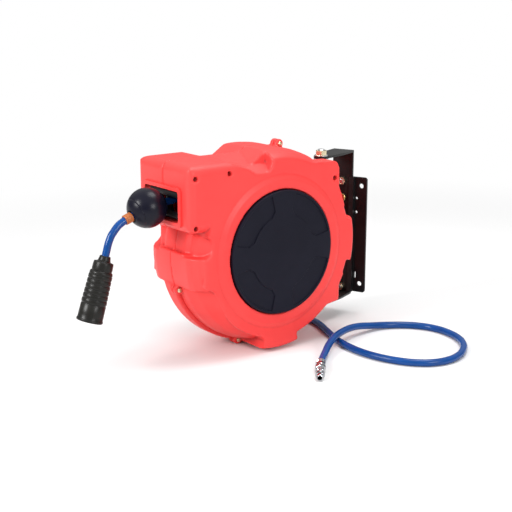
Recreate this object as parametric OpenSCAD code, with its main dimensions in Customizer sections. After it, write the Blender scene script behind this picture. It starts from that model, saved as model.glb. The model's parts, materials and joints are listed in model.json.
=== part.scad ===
// Spring-rewind air hose reel in a moulded case, swivelling on a wall bracket.
// The row frame has its origin on the wall, in the middle of the four fixing holes: the wall is the
// plane Y = 0 and the reel stands out towards -Y. The reel itself is drawn in its own reel frame,
// where X is the drum's axis, the hose mouth points to -Y and the origin is the middle of the drum.

/* [Case] */
// Half of the case's thickness at the flat side faces
case_half = 76; // [72:1:84]
// Outer radius of the three raised bands round the case
band_r = 166; // [162:1:172]
// Outer radius of the case between the bands
rim_r = 153; // [150:0.5:156]
// Radius of the crown along the parting line
crown_r = 168; // [164:1:172]
// Radius of the round opening for the side cover
cover_hole_r = 105; // [98:1:108]
// Inner radius of the drum chamber
chamber_r = 136; // [134:0.5:138]
// Height that the ring round the cover stands proud of the side face
pad_proud = 4; // [2:0.5:6]

/* [Nose] */
// Distance from the drum axis to the nose's front face
nose_reach = 178; // [172:1:190]
// Height of the nose's top over the drum axis
nose_top = 158; // [152:1:162]
// Height of the nose's underside over the drum axis
nose_bottom = 50; // [46:1:52]
// Clear width of the hose mouth
mouth_w = 96; // [90:1:104]
// Clear height of the hose mouth
mouth_h = 50; // [46:1:54]
// Height of the mouth's middle over the drum axis
mouth_z = 91; // [88:1:92]
// Width of the raised frame round the mouth
mouth_rim = 6; // [4:0.5:8]

/* [Drum and hose] */
// Outer diameter of the wound hose
hose_d = 12; // [10:0.5:12.2]
// Inner diameter of the hose
hose_bore = 8; // [6:0.5:9]
// Outer radius of the drum's hub
hub_r = 72; // [70:0.5:73]
// Outer radius of the drum's flanges
flange_r = 130; // [124:1:132]
// Clear width between the flanges
drum_w = 100; // [99.2:0.2:102]
// Turns of hose side by side
hose_turns = 8; // [6:1:8]
// Full layers of hose
hose_layers = 3; // [2:1:3]

/* [Rollers] */
// Radius of the guide rollers
roller_r = 6; // [5:0.25:6]
// Clear gap between a pair of guide rollers
roller_gap = 22; // [20:0.5:23]
// Radius of the roller pins
roller_pin_r = 2.5; // [2:0.1:3]

/* [Bracket] */
// Distance from the wall to the pivot axis
wall_gap = 95; // [94:1:110]
// Distance from the drum axis to the pivot axis
pivot_y = 150; // [149:0.5:151]
// How far the reel is swivelled from straight out, as stored
swivel_rest = 22; // [0:1:40]
// Width of the swivel bracket
yoke_w = 40; // [36:1:44]
// Outside height of the swivel bracket
yoke_h = 270; // [268:1:280]
// Thickness of the bracket's steel
steel_t = 4; // [3:0.5:5]
// Radius of the pivot rod
rod_r = 6; // [5:0.25:6.5]
// Width of the wall plate
plate_w = 94; // [90:1:110]
// Height of the wall plate
plate_h = 216; // [210:1:230]
// Spacing of the wall holes across
bolt_dx = 72; // [68:1:78]
// Spacing of the wall holes up and down
bolt_dz = 184; // [178:1:190]
// Radius of the wall holes
bolt_hole_r = 4.5; // [3.5:0.25:5]
// Height of the wall plate's middle under the drum axis
plate_drop = 22; // [16:1:28]

/* [Stopper and outlet] */
// Radius of the ball stopper
ball_r = 32; // [30:0.5:34]
// Length of the rubber boot over the outlet coupler
boot_len = 104; // [96:1:112]
// Radius of the boot at its open end
boot_r = 21; // [19:0.5:23]

/* [Hidden] */
$fn = 96;

red = [0.93, 0.24, 0.22];
navy = [0.12, 0.12, 0.16];
black = [0.08, 0.08, 0.09];
steel = [0.72, 0.73, 0.75];
brass = [0.80, 0.66, 0.32];
blue = [0.05, 0.35, 0.78];
orange = [0.93, 0.48, 0.12];
white = [0.88, 0.88, 0.86];

cut = 0.5;                        // how far a cutting solid runs past a face
fit = 0.05;                       // radial clearance of a running fit
gap = 0.4;                        // clearance between neighbours that move
wall = 3;                         // wall of the mouldings
bush_flange = 3;                  // thickness of a pivot bush's flange
crown_half = 32;                  // half width of the crown along the parting line
floor_x = case_half - 7;          // inner face of the case's side floor
pad_x = case_half + pad_proud;    // outer face of the ring round the cover
rod_bore_r = rod_r + 2;           // bore of the pivot lugs, which takes the bushes
mouth_out_w = mouth_w + 2 * mouth_rim;
mouth_out_h = mouth_h + 2 * mouth_rim;
hose_pitch = hose_d + 0.3;
layer_1_r = hub_r + hose_d / 2 + 0.2;
lead_r = layer_1_r + hose_layers * hose_pitch;
ball_y = nose_reach + 30;
ball_z = mouth_z - 4;
ball_dist = norm([ball_y, ball_z]);
lead_a = atan2(ball_z, -ball_y) - acos(lead_r / ball_dist);
lead_tilt = lead_a - 90;          // slope of the hose between the drum and the ball
lead_len = sqrt(ball_dist * ball_dist - lead_r * lead_r);
screw_spots = [[-166, 138], [-102, 140], [117, 110], [-166, 60]];
edge_spots = [[-156, -54], [50, 166], [-38, -162]];
screw_sink = 13;                   // depth of the closing screws under the side face
flange_x = drum_w / 2;
flange_t = 3;

// Places a reel-frame solid in the row frame, swivelled as stored.
module in_reel() {
    translate([0, -wall_gap, plate_drop]) rotate([0, 0, -swivel_rest])
        translate([0, -pivot_y, 0]) children();
}

// Places a bracket-frame solid, whose origin is on the pivot axis level with the drum axis.
module in_bracket() {
    translate([0, -wall_gap, plate_drop]) children();
}

// Turns a drawing of (Y, Z) extruded up into a reel-frame solid extruded along +X.
module along_x() {
    rotate([90, 0, 90]) children();
}

// A sector of a turned ring about the drum axis, from its (radius, X) profile.
module sector(from, to, profile) {
    along_x() rotate([0, 0, from]) rotate_extrude(angle = to - from) polygon(profile);
}

// A cylinder along X from x0 to x1, about the line Y = y, Z = z.
module bar(r, x0, x1, y = 0, z = 0) {
    translate([x0, y, z]) along_x() cylinder(r = r, h = x1 - x0);
}

// A turned tube along X from x0 to x1.
module tube(r_out, r_in, x0, x1) {
    difference() {
        bar(r_out, x0, x1);
        bar(r_in, x0 - cut, x1 + cut);
    }
}

// A rectangle with four round corners, centred.
module round_rect(w, h, r) {
    union() {
        square([w - 2 * r, h], center = true);
        square([w, h - 2 * r], center = true);
        for (sx = [-1, 1]) for (sy = [-1, 1])
            translate([sx * (w / 2 - r), sy * (h / 2 - r)]) circle(r);
    }
}

// ---- Case ----

// Each outline runs past the flat side face by its own amount, and the face is then cut flat.
function rim_profile(past) = [[0, 0], [rim_r + 5, 0], [rim_r + 5, crown_half - 4], [rim_r, crown_half + 6],
    [rim_r, case_half - 6], [rim_r - 4 - past * 2 / 3, case_half + past], [0, case_half + past]];
function band_profile(past) = [[0, 0], [band_r, 0], [band_r, case_half - 16], [band_r - 3, case_half - 4],
    [band_r - 7 - past, case_half + past], [0, case_half + past]];
function foot_profile(past) = [[0, 0], [band_r + 1, 0], [band_r + 1, case_half - 10],
    [band_r - 1, case_half - 3], [band_r - 4 - past, case_half + past], [0, case_half + past]];
function brow_profile(past) = [[0, 0], [band_r, 0], [band_r, case_half - 32], [band_r - 3, case_half - 20],
    [band_r - 9, case_half - 10], [band_r - 18, case_half - 3], [band_r - 26 - past * 8 / 3, case_half + past],
    [0, case_half + past]];
function crown_profile(past) = [[0, 0], [crown_r, 0], [crown_r, crown_half + 6], [crown_r - 2, case_half - 21],
    [crown_r - 6, case_half - 10], [crown_r - 11, case_half - 3], [crown_r - 14 - past, case_half + past],
    [0, case_half + past]];
function hollow_profile(top, past) = [[0, 0], [top, 0], [top - 1, crown_half - 10], [rim_r + 1, case_half - 30],
    [rim_r - 8, case_half - 14], [rim_r - 15, case_half - 3], [rim_r - 17 - past / 2, case_half + past],
    [0, case_half + past]];
function lip_profile(past) = [[0, 0], [crown_r, 0], [crown_r, crown_half - 4], [crown_r - 8, crown_half + 4],
    [rim_r + 1, case_half - 30], [rim_r - 8, case_half - 14], [rim_r - 15, case_half - 3],
    [rim_r - 17 - past / 2, case_half + past], [0, case_half + past]];

// Block that the hose leaves through, rounded along its top and down its front corners.
module nose_block() {
    corner = 14;
    depth = nose_reach - 40;
    height = nose_top - nose_bottom;
    mid_y = -40 - depth / 2;
    intersection() {
        along_x() translate([mid_y, nose_bottom + height / 2]) linear_extrude(case_half + 2)
            round_rect(depth, height, corner);
        translate([0, mid_y, 0]) linear_extrude(nose_top + cut)
            round_rect(2 * case_half + 0.6, depth - 0.02, corner);
        translate([0, -39, nose_bottom + height / 2]) rotate([90, 0, 0]) linear_extrude(depth + 2)
            round_rect(2 * case_half + 0.7, height - 0.02, corner + 4);
    }
}

// Raised land of the side face along the crescent-shaped hollow under the nose.
module crescent_land() {
    along_x() translate([0, 0, crown_half + 12]) linear_extrude(case_half - crown_half - 9)
        polygon([[-150, -20], [-152, -37], [-140, -42], [-132, -48], [-125, -59], [-119, -72], [-110, -89],
            [-99, -103], [-87, -115], [-73, -125], [-56, -134], [-39, -140], [-30, -150], [-10, -120],
            [-60, 0]]);
}

// Cheeks of the pivot block, behind which the bracket's arms have room to swing.
module pivot_cheeks() {
    inner = crown_half + 13;
    along_x() translate([0, 0, inner]) linear_extrude(case_half - inner + 2.5) {
        polygon([[40, 60], [40, 142], [112, 140], [121, 137], [126, 128], [127, 95], [140, 60]]);
        polygon([[40, -60], [40, -125], [84, -123], [104, -110], [131, -106], [131, -78], [140, -60]]);
    }
}

// Lugs that hold the pivot bushes, with the half tube that the rod passes through.
module pivot_lugs() {
    lug_r = 15;
    lug_z = yoke_h / 2 - steel_t - bush_flange - gap;
    for (s = [-1, 1]) translate([0, 0, s > 0 ? lug_z - 30 : -lug_z]) linear_extrude(30) union() {
        translate([0, pivot_y]) circle(lug_r);
        translate([-lug_r, 100]) square([2 * lug_r, pivot_y - 100]);
    }
    translate([0, pivot_y, -100]) cylinder(r = 13, h = 200);
}

// Outside of one half, on the +X side, before it is hollowed.
module half_outside(crescent) {
    intersection() {
        union() {
            sector(-80, 62, rim_profile(1));
            sector(61, 150, crown_profile(1.3));
            sector(149, 197, rim_profile(1.6));
            sector(196, 259, crescent);
            sector(258, 284, foot_profile(1.9));
            sector(-14, 13.5, band_profile(2.2));
            sector(176, 196.5, brow_profile(2.8));
            crescent_land();
            nose_block();
            pivot_cheeks();
            pivot_lugs();
            bar(cover_hole_r + 24, 1, case_half + 3);
            for (p = edge_spots) {
                bar(8, -1, 9, p[0], p[1]);
                rotate([atan2(p[1], p[0]), 0, 0]) translate([-1, norm(p) - 16, -5]) cube([9, 16, 10]);
            }
        }
        translate([0, -250, -250]) cube([case_half, 500, 500]);
    }
    along_x() translate([0, 0, case_half - cut]) cylinder(r1 = cover_hole_r + 24,
        r2 = cover_hole_r + 15, h = pad_proud + cut);
}

// Scoops in the corner between the side face and the outside, with floors that slope outwards.
module pockets() {
    intersection() {
        rotate([90, 0, 0]) linear_extrude(120)
            polygon([[-cut, 160], [crown_half, 152.5], [case_half - 16, 145], [case_half, 133], [100, 118],
                [100, 210], [-cut, 210]]);
        union() {
            along_x() translate([0, 0, case_half - 20]) linear_extrude(40) {
                translate([-35, 150]) circle(18);
                polygon([[-100, 210], [-100, 157], [-92, 154], [-67, 144.5], [-51, 134.5], [-41, 133],
                    [-17, 150], [-14, 210]]);
            }
            along_x() translate([0, 0, -cut]) linear_extrude(case_half - 18)
                polygon([[-100, 210], [-100, 157], [-92, 154], [-60, 146], [-48, 147], [-14, 169], [-10, 210]]);
        }
    }
    intersection() {
        along_x() linear_extrude(case_half + 20) union() {
            translate([-154, 27]) circle(19);
            translate([-220, 8]) square([66, 38]);
        }
        translate([case_half - 2, -135, 0]) rotate([0, 0, -54]) translate([0, -100, 0]) cube([100, 200, 60]);
    }
}

// Everything inside the case: drum chamber, nose passage, mouth, cover seat and bores.
module half_inside() {
    bar(chamber_r, -cut, case_half - 20);
    bar(116, -cut, floor_x);
    bar(cover_hole_r, floor_x + wall, pad_x + cut);
    translate([-cut, -nose_reach + wall + 1, mouth_z - 32])
        cube([case_half - 8, nose_reach - 88, nose_top - mouth_z + 22]);
    translate([-cut, -110, ball_z]) cube([10, 60, 38]);
    translate([0, -nose_reach + 20, mouth_z]) rotate([90, 0, 0]) linear_extrude(40)
        round_rect(mouth_w + 4, mouth_h + 4, 6);
    translate([0, pivot_y, -yoke_h / 2]) cylinder(r = rod_bore_r, h = yoke_h);
}

// Bosses that the closing screws run through, wider round the sunk heads.
module screw_bosses() {
    for (p = screw_spots) {
        bar(4, 0, case_half - 1, p[0], p[1]);
        bar(7, case_half - screw_sink - 6, case_half - 1, p[0], p[1]);
    }
}

module screw_holes() {
    for (p = screw_spots) {
        bar(4.2, case_half - screw_sink, case_half + cut, p[0], p[1]);
        bar(2.2, -cut, case_half, p[0], p[1]);
    }
    for (p = edge_spots) bar(2.2, -cut, 20, p[0], p[1]);
}

// One half of the case with its pockets, hollow and screw bosses.
module case_half_shell(crescent) {
    difference() {
        union() {
            difference() {
                half_outside(crescent);
                pockets();
                half_inside();
            }
            screw_bosses();
        }
        screw_holes();
    }
}

// Socket that keeps the arbor's square end from turning.
module arbor_socket() {
    difference() {
        bar(20, case_half - 22, floor_x + 1);
        bar(10, case_half - 23, floor_x - 5);
        translate([floor_x - 6, -7, -7]) cube([8 + cut, 14, 14]);
    }
}

module case_right() {
    color(red) in_reel() union() {
        case_half_shell(hollow_profile(crown_r - 6, 2.5));
        arbor_socket();
    }
}

module case_left() {
    color(red) in_reel() mirror([1, 0, 0]) union() {
        difference() {
            case_half_shell(lip_profile(2.5));
            bar(16, floor_x - cut, floor_x + wall + cut);
        }
        difference() {
            bar(20, floor_x - 8, floor_x + wall);
            bar(12, floor_x - 9, floor_x + wall + cut);
        }
        difference() {
            bar(6, pawl_x + pawl_t + 2.8, floor_x + 1, pawl_y, pawl_z);
            bar(3, pawl_x, floor_x + 2, pawl_y, pawl_z);
        }
    }
}

// Round cover of a side: a dish with four sunk panels round a raised middle.
module side_cover(hole_r) {
    rim = cover_hole_r - 1.4;
    top = pad_x + 4;
    difference() {
        bar(rim, floor_x + wall + 0.2, top);
        bar(rim - wall, floor_x + wall - cut, top - wall - 2);
        for (a = [45, 135, 225, 315]) sector(a - 30, a + 30, [[64, top - 2], [rim - 4, top - 2],
            [rim - 4, top + cut], [64, top + cut]]);
        if (hole_r > 0) bar(hole_r, floor_x, top + cut);
    }
}

module side_cover_right() {
    color(navy) in_reel() side_cover(0);
}

module side_cover_left() {
    color(navy) in_reel() mirror([1, 0, 0]) side_cover(14);
}

// Cross-recessed screws that close the case, sunk in its right side.
module case_screws() {
    color(steel) in_reel() for (p = screw_spots) union() {
        bar(3.8, case_half - screw_sink, case_half - screw_sink + 2.6, p[0], p[1]);
        bar(1.9, 6, case_half - screw_sink, p[0], p[1]);
    }
}

module edge_screws() {
    color(brass) in_reel() for (p = edge_spots) union() {
        bar(4, 9, 11.5, p[0], p[1]);
        bar(1.9, -8, 9, p[0], p[1]);
    }
}

// ---- Hose mouth ----

roller_top_z = mouth_z + roller_gap / 2 + roller_r;
roller_bottom_z = mouth_z - roller_gap / 2 - roller_r;
roller_side_x = roller_gap / 2 + roller_r;
roller_row_y = -nose_reach + 8;
roller_back_y = roller_row_y + 2 * roller_r + 3;
roller_len_x = mouth_w - 10;
roller_len_z = mouth_h - 6;

// Frame of the mouth: its raised rim outside and the cheeks that hold the roller pins.
module mouth_frame() {
    sleeve_w = mouth_w + 3.4;
    sleeve_h = mouth_h + 3.4;
    color(red) in_reel() difference() {
        union() {
            translate([0, -nose_reach, mouth_z]) rotate([90, 0, 0]) linear_extrude(4)
                round_rect(mouth_out_w, mouth_out_h, 7);
            translate([0, roller_back_y + 11, mouth_z]) rotate([90, 0, 0])
                linear_extrude(nose_reach + roller_back_y + 11) round_rect(sleeve_w, sleeve_h, 5.7);
        }
        translate([0, roller_back_y + 12, mouth_z]) rotate([90, 0, 0])
            linear_extrude(nose_reach + roller_back_y + 18) round_rect(mouth_w, mouth_h, 4);
        roller_pin_set(roller_pin_r);
    }
}

// A guide roller along Z, centred, bored for its pin and waisted like a real one.
module roller_body(len) {
    rotate_extrude() polygon([[roller_pin_r + fit, -len / 2], [roller_r - 1, -len / 2],
        [roller_r, -len / 2 + 3], [roller_r, len / 2 - 3], [roller_r - 1, len / 2],
        [roller_pin_r + fit, len / 2]]);
}

module roller_across(z) {
    color(black) in_reel() translate([0, roller_row_y, z]) rotate([0, 90, 0]) roller_body(roller_len_x);
}

module roller_upright(x) {
    color(black) in_reel() translate([x, roller_back_y, mouth_z]) roller_body(roller_len_z);
}

module roller_top() {
    roller_across(roller_top_z);
}

module roller_bottom() {
    roller_across(roller_bottom_z);
}

module roller_right() {
    roller_upright(roller_side_x);
}

module roller_left() {
    roller_upright(-roller_side_x);
}

module roller_pin_set(r) {
    for (z = [roller_top_z, roller_bottom_z]) translate([0, roller_row_y, z]) rotate([0, 90, 0])
        cylinder(r = r, h = mouth_w + 2.6, center = true);
    for (x = [-roller_side_x, roller_side_x]) translate([x, roller_back_y, mouth_z])
        cylinder(r = r, h = mouth_h + 2.6, center = true);
}

module roller_pins() {
    color(steel) in_reel() roller_pin_set(roller_pin_r);
}

// ---- Drum ----

arbor_r = 10;
cup_x = flange_x - 4;             // outer face of the spring chamber inside the hub
web_x = -4;                       // middle web of the hub
flange_bolt_r = hub_r - 8;
outlet_x = 26;                    // the hose's feed through the hub

module drum_hub() {
    color(white) in_reel() difference() {
        union() {
            tube(hub_r, hub_r - 3, -flange_x, flange_x);
            bar(hub_r - 1, web_x, web_x + 4);
            bar(18, -20, web_x + 1);
            for (a = [0 : 60 : 300]) rotate([a, 0, 0]) {
                bar(4.5, cup_x - 6, cup_x + 0.8, flange_bolt_r + 1, 0);
                bar(4.5, -flange_x, -flange_x + 10, flange_bolt_r + 1, 0);
            }
        }
        flange_bolt_set(1.9, flange_x - 8.1, flange_x);
        mirror([1, 0, 0]) flange_bolt_set(1.9, flange_x - 8.1, flange_x);
        bar(arbor_r + fit, web_x - 1, web_x + 4 + cut);
        bar(8, -20 - cut, web_x + cut);
        translate([-outlet_x, 0, 0]) cylinder(r = 4.6, h = hub_r + cut);
    }
}

module drum_flange(x0, bore_r) {
    tube(flange_r, bore_r, x0, x0 + flange_t);
}

module drum_flange_right() {
    color(white) in_reel() difference() {
        drum_flange(flange_x, 55);
        flange_bolt_set(2.1, flange_x - 1, flange_x + flange_t + 1);
    }
}

module drum_flange_left() {
    color(white) in_reel() mirror([1, 0, 0]) difference() {
        drum_flange(flange_x, 15);
        flange_bolt_set(2.1, flange_x - 1, flange_x + flange_t + 1);
    }
}

module flange_bolt_set(r, x0, x1) {
    for (a = [0 : 60 : 300]) rotate([a, 0, 0]) bar(r, x0, x1, flange_bolt_r, 0);
}

// Screws that hold both flanges to the hub, six a side.
module flange_bolts() {
    color(steel) in_reel() for (m = [0, 1]) mirror([m, 0, 0]) {
        flange_bolt_set(1.9, flange_x - 8, flange_x + flange_t + 0.1);
        flange_bolt_set(3.6, flange_x + flange_t, flange_x + flange_t + 2);
    }
}

// Lid of the spring chamber, which carries the right bearing.
module spring_cup_lid() {
    color(steel) in_reel() difference() {
        bar(hub_r - 3.2, flange_x - 3, flange_x);
        bar(13, flange_x - 4, flange_x + cut);
        flange_bolt_set(2.1, flange_x - 4, flange_x + cut);
    }
}

// Strip spring: a flat spiral, wound from its inner hook near the arbor to the hub's wall.
module mainspring() {
    turns = 9;
    steps = 20;
    inner = 15;
    outer = hub_r - 5;
    strip = 0.8;
    function arm(i, off) = let (a = i * 360 / steps, r = inner + (outer - inner) * i / (turns * steps) + off)
        [r * cos(a), r * sin(a)];
    color(steel) in_reel() along_x() translate([0, 0, 3]) linear_extrude(cup_x - 11)
        polygon(concat([for (i = [0 : turns * steps]) arm(i, 0)],
            [for (i = [turns * steps : -1 : 0]) arm(i, strip)]));
}

// Steel arbor, held from turning by its square end in the case's right side.
module arbor() {
    color(steel) in_reel() union() {
        bar(arbor_r, web_x - 1, floor_x - 5);
        translate([floor_x - 5, -7, -7]) cube([7, 14, 14]);
    }
}

module bush_right() {
    color(brass) in_reel() tube(13, arbor_r + fit, flange_x - 5, flange_x + flange_t);
}

module bush_left() {
    color(brass) in_reel() mirror([1, 0, 0]) tube(15, 12 + fit, flange_x - 3, flange_x + flange_t + 2);
}

// Ratchet ring on the left flange; twelve teeth let the drum stop twelve times a turn.
ratchet_r = 50;
tooth_h = 5;
ratchet_x = flange_x + flange_t;

module ratchet_ring() {
    teeth = 12;
    step = 360 / teeth;
    color(black) in_reel() mirror([1, 0, 0]) along_x() translate([0, 0, ratchet_x]) linear_extrude(6)
        difference() {
            polygon([for (i = [0 : teeth - 1]) for (k = [0, 1, 2])
                let (a = i * step + [0, 2, 16][k], r = ratchet_r + [0, tooth_h, 0][k])
                [r * cos(a), r * sin(a)]]);
            circle(38);
        }
}

pawl_y = 62;
pawl_z = 28;
pawl_t = 5;
pawl_x = ratchet_x + 2.5;         // inner face of the pawl, clear of the flange screws

// Pawl: its return spring holds its hooked nose down between two teeth.
module pawl() {
    face = pawl_x;
    color(orange) in_reel() mirror([1, 0, 0]) difference() {
        union() {
            bar(6, face, face + pawl_t, pawl_y, pawl_z);
            along_x() translate([pawl_y, pawl_z, face]) linear_extrude(pawl_t)
                polygon([[-4, 3.5], [4, 3.5], [0, -36], [-10, -34], [-10.5, -30], [-5, -27.5]]);
        }
        bar(3 + fit, face - cut, face + pawl_t + cut, pawl_y, pawl_z);
    }
}

module pawl_pin() {
    color(steel) in_reel() mirror([1, 0, 0]) bar(3, pawl_x - 0.1, floor_x, pawl_y, pawl_z);
}

// Return spring of the pawl, coiled round its pin between the pawl and the case's boss.
module pawl_spring() {
    color(steel) in_reel() mirror([1, 0, 0]) for (i = [0, 1])
        translate([pawl_x + pawl_t + 0.8 + i, pawl_y, pawl_z]) along_x()
            rotate_extrude($fn = 32) translate([4, 0]) circle(0.3);
}

// ---- Air swivel ----

stem_r = 7;

seal_spots = [32, 38.5];          // where the two seals sit along the stem
stem_end = 30;
seat_x = 20;                      // seat of the housing on the hub's boss

module swivel_stem() {
    color(brass) in_reel() mirror([1, 0, 0]) difference() {
        union() {
            bar(12, flange_x - 6, pad_x + 8);
            bar(stem_r, stem_end, flange_x - 5);
        }
        bar(4, stem_end - cut, pad_x + 9);
        for (x = seal_spots) tube(stem_r + cut, 5.6, x, x + 2.8);
    }
}

module swivel_housing() {
    color(brass) in_reel() mirror([1, 0, 0]) difference() {
        bar(14, seat_x, flange_x - 6.5);
        bar(stem_r + fit, seat_x + 2, flange_x - 6);
        translate([outlet_x, 0, 0]) cylinder(r = 2.5, h = 20);
    }
}

module swivel_seals() {
    color(black) in_reel() mirror([1, 0, 0]) for (x = seal_spots) tube(stem_r - 0.02, 5.65, x + 0.1, x + 2.7);
}

// Short tube that feeds the hose from the swivel through the hub's wall.
module hub_outlet() {
    foot = 13.9;
    color(brass) in_reel() translate([-outlet_x, 0, foot]) difference() {
        cylinder(r = 4.5, h = hub_r - foot);
        translate([0, 0, -cut]) cylinder(r = 2.5, h = hub_r);
    }
}

// ---- Hose ----

// Hose wound on the drum, turn beside turn and layer on layer, with two turns of a further layer.
module wound_hose() {
    start = -(hose_turns - 1) / 2 * hose_pitch;
    color(blue) in_reel() {
        for (n = [0 : hose_layers - 1]) for (t = [0 : hose_turns - 1])
            hose_ring(layer_1_r + n * hose_pitch, start + t * hose_pitch);
        for (t = [-1, 1]) hose_ring(lead_r, t * hose_pitch);
    }
}

module hose_ring(r, x) {
    translate([x, 0, 0]) along_x() rotate_extrude() translate([r, 0]) circle(d = hose_d, $fn = 32);
}

// Hose from the top of the drum, between the rollers and through the ball.
module lead_out_hose() {
    bend = [0, -ball_y, ball_z];
    over = 1.5;
    color(blue) in_reel() difference() {
        union() {
            aim(bend, lead_back) translate([0, 0, -over]) cylinder(d = hose_d, h = lead_len + over);
            aim(bend, exit_way) translate([0, 0, -over]) cylinder(d = hose_d, h = exit_dist + over);
        }
        aim(bend, lead_back) cylinder(d = hose_bore, h = lead_len + cut);
        aim(bend, exit_way) translate([0, 0, -1]) cylinder(d = hose_bore, h = exit_dist + 1 + cut);
    }
}

// ---- Stopper and outlet ----

exit_tilt = 20;                   // slope of the hose where it leaves the ball
exit_way = [0, -1, -tan(exit_tilt)];
lead_back = [0, 1, tan(lead_tilt)];
exit_dist = 24;                   // from the ball's middle to where the free hose starts
// Route of the free hose at the outlet, in the reel frame, chosen by hand.
outlet_route = [[0, -230.5, 78.8], [0, -237.7, 76.2], [0, -245, 73.5], [0, -251.5, 70.5], [0, -258, 67],
    [0, -263.5, 62.5], [0, -268.5, 57], [0, -273, 51.5], [0, -276.5, 45], [0, -279.5, 38],
    [0, -282, 29.5], [0, -284.7, 21], [0, -287.5, 12.5], [0, -290.2, 4], [0, -293, -4.6]];
boot_start = [0, -284.7, 21];     // neck of the boot
boot_way = [0, -sin(18), -cos(18)];
coupler_at = 27;                  // from the boot's neck to the coupler, where the hose ends
// Route of the inlet hose, in the reel frame: down behind the case, forward under it, then a loop.
inlet_route = [[-113, 23, -23], [-113, 30, -30], [-113, 38, -38.5], [-113, 49, -56], [-112, 61, -78],
    [-110, 74, -100], [-107, 86, -120], [-101, 98, -138], [-90, 110, -152], [-74, 121, -161],
    [-54, 130, -164], [-30, 136, -164], [-2, 137, -164], [28, 130, -164], [58, 118, -164],
    [88, 106, -164], [118, 96, -164], [150, 90, -164], [182, 89, -164], [214, 94, -164],
    [244, 105, -164], [270, 122, -164], [288, 146, -164], [294, 174, -164], [289, 203, -164],
    [275, 230, -164], [254, 254, -164], [227, 271, -164], [197, 279, -164], [166, 278, -164],
    [138, 266, -164], [116, 246, -164], [101, 220, -163], [95, 191, -160], [96, 162, -155],
    [101, 134, -152], [110, 106, -151.5], [121, 80, -153], [135, 56, -157], [151, 34, -162],
    [169, 12, -164], [189, -8, -164]];
inlet_start_way = [0, 1, -1];
nipple_way_a = -42;               // heading of the nipple in plan, from +X

function unit(v) = v / norm(v);
function cross3(a, b) = [a[1] * b[2] - a[2] * b[1], a[2] * b[0] - a[0] * b[2], a[0] * b[1] - a[1] * b[0]];
function way(p, i) = unit(p[min(i + 1, len(p) - 1)] - p[max(i - 1, 0)]);
function side_of(w) = unit(cross3(w, abs(w[0]) > 0.9 ? [0, 0, 1] : [1, 0, 0]));

// Tube with a ring of sides at every point of a route.
module swept_tube(route, d, sides = 8) {
    ends = len(route);
    rings = [for (i = [0 : ends - 1]) let (w = way(route, i), u = side_of(w), v = cross3(w, u))
        for (k = [0 : sides - 1]) let (a = k * 360 / sides)
            route[i] + d / 2 * (cos(a) * u + sin(a) * v)];
    skin = [for (i = [0 : ends - 2]) for (k = [0 : sides - 1]) let (n = (k + 1) % sides)
        each [[i * sides + k, (i + 1) * sides + k, (i + 1) * sides + n],
            [i * sides + k, (i + 1) * sides + n, i * sides + n]]];
    first = [[for (k = [0 : sides - 1]) k]];
    last = [[for (k = [sides - 1 : -1 : 0]) (ends - 1) * sides + k]];
    polyhedron(rings, concat(first, skin, last), convexity = 4);
}

// Puts a solid drawn along +Z from the origin at a point, along a direction in the reel's YZ plane.
module aim(point, dir) {
    translate(point) rotate([atan2(-dir[1], dir[2]), 0, 0]) children();
}

// Rubber ball that stops the hose at the mouth, counterbored from behind for its clamp.
module stopper_ball() {
    color(navy) in_reel() difference() {
        translate([0, -ball_y, ball_z]) sphere(r = ball_r);
        translate([0, -ball_y, ball_z]) sphere(r = hose_d / 2 + 0.8);
        aim([0, -ball_y, ball_z], lead_back) {
            cylinder(d = hose_d + 0.3, h = ball_r + cut);
            translate([0, 0, ball_r - 14]) cylinder(r = 9.3, h = 15);
        }
        aim([0, -ball_y, ball_z], exit_way) {
            cylinder(d = hose_d + 0.3, h = ball_r + cut);
            translate([0, 0, ball_r - 8]) cylinder(r1 = 7, r2 = 11, h = 9);
        }
    }
}

// Crimped collar on the hose that backs the ball.
module stop_collar() {
    color(steel) in_reel() aim([0, -ball_y, ball_z], lead_back) difference() {
        translate([0, 0, ball_r - 13.8]) cylinder(r = 9, h = 11);
        cylinder(d = hose_d + 0.1, h = ball_r);
    }
}

// Orange band on the hose where it leaves the ball.
module hose_band() {
    color(orange) in_reel() aim([0, -ball_y, ball_z], exit_way) translate([0, 0, 30.5]) difference() {
        cylinder(r = 8, h = 13);
        translate([0, 0, -cut]) cylinder(d = hose_d + 0.3, h = 14);
    }
}

module outlet_hose() {
    color(blue) in_reel() swept_tube(outlet_route, hose_d);
}

// Ribbed rubber boot over the outlet coupler, open at its lower end.
module coupler_boot() {
    ribs = 6;
    rib_pitch = (boot_len - 44) / ribs;
    grow = 1.6 / ribs;
    rib_r = boot_r - 2.6;
    color(black) in_reel() aim(boot_start, boot_way) rotate_extrude() difference() {
        union() {
            polygon([[0, 0], [8.5, 0], [10, 8], [15.5, 10], [16, 22], [13, 25], [0, 25]]);
            for (i = [0 : ribs - 1]) let (z = 24 + i * rib_pitch, r = rib_r + i * grow)
                polygon([[0, z], [r - 1.5, z], [r, z + 2], [r + grow / 2, z + rib_pitch - 2],
                    [r - 1.5, z + rib_pitch], [0, z + rib_pitch]]);
            translate([0, boot_len - 20.1]) square([boot_r - 1, 17]);
            translate([0, boot_len - 4]) square([boot_r, 4]);
        }
        translate([-cut, -cut]) square([hose_d / 2 + 0.15 + cut, boot_len]);
        translate([-cut, coupler_at - 0.5]) square([9.65 + cut, boot_len]);
        translate([-cut, 42]) square([14 + cut, boot_len]);
        translate([-cut, boot_len - 30]) polygon([[0, 0], [14, 0], [boot_r - 2.5, 31], [0, 31]]);
    }
}

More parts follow.
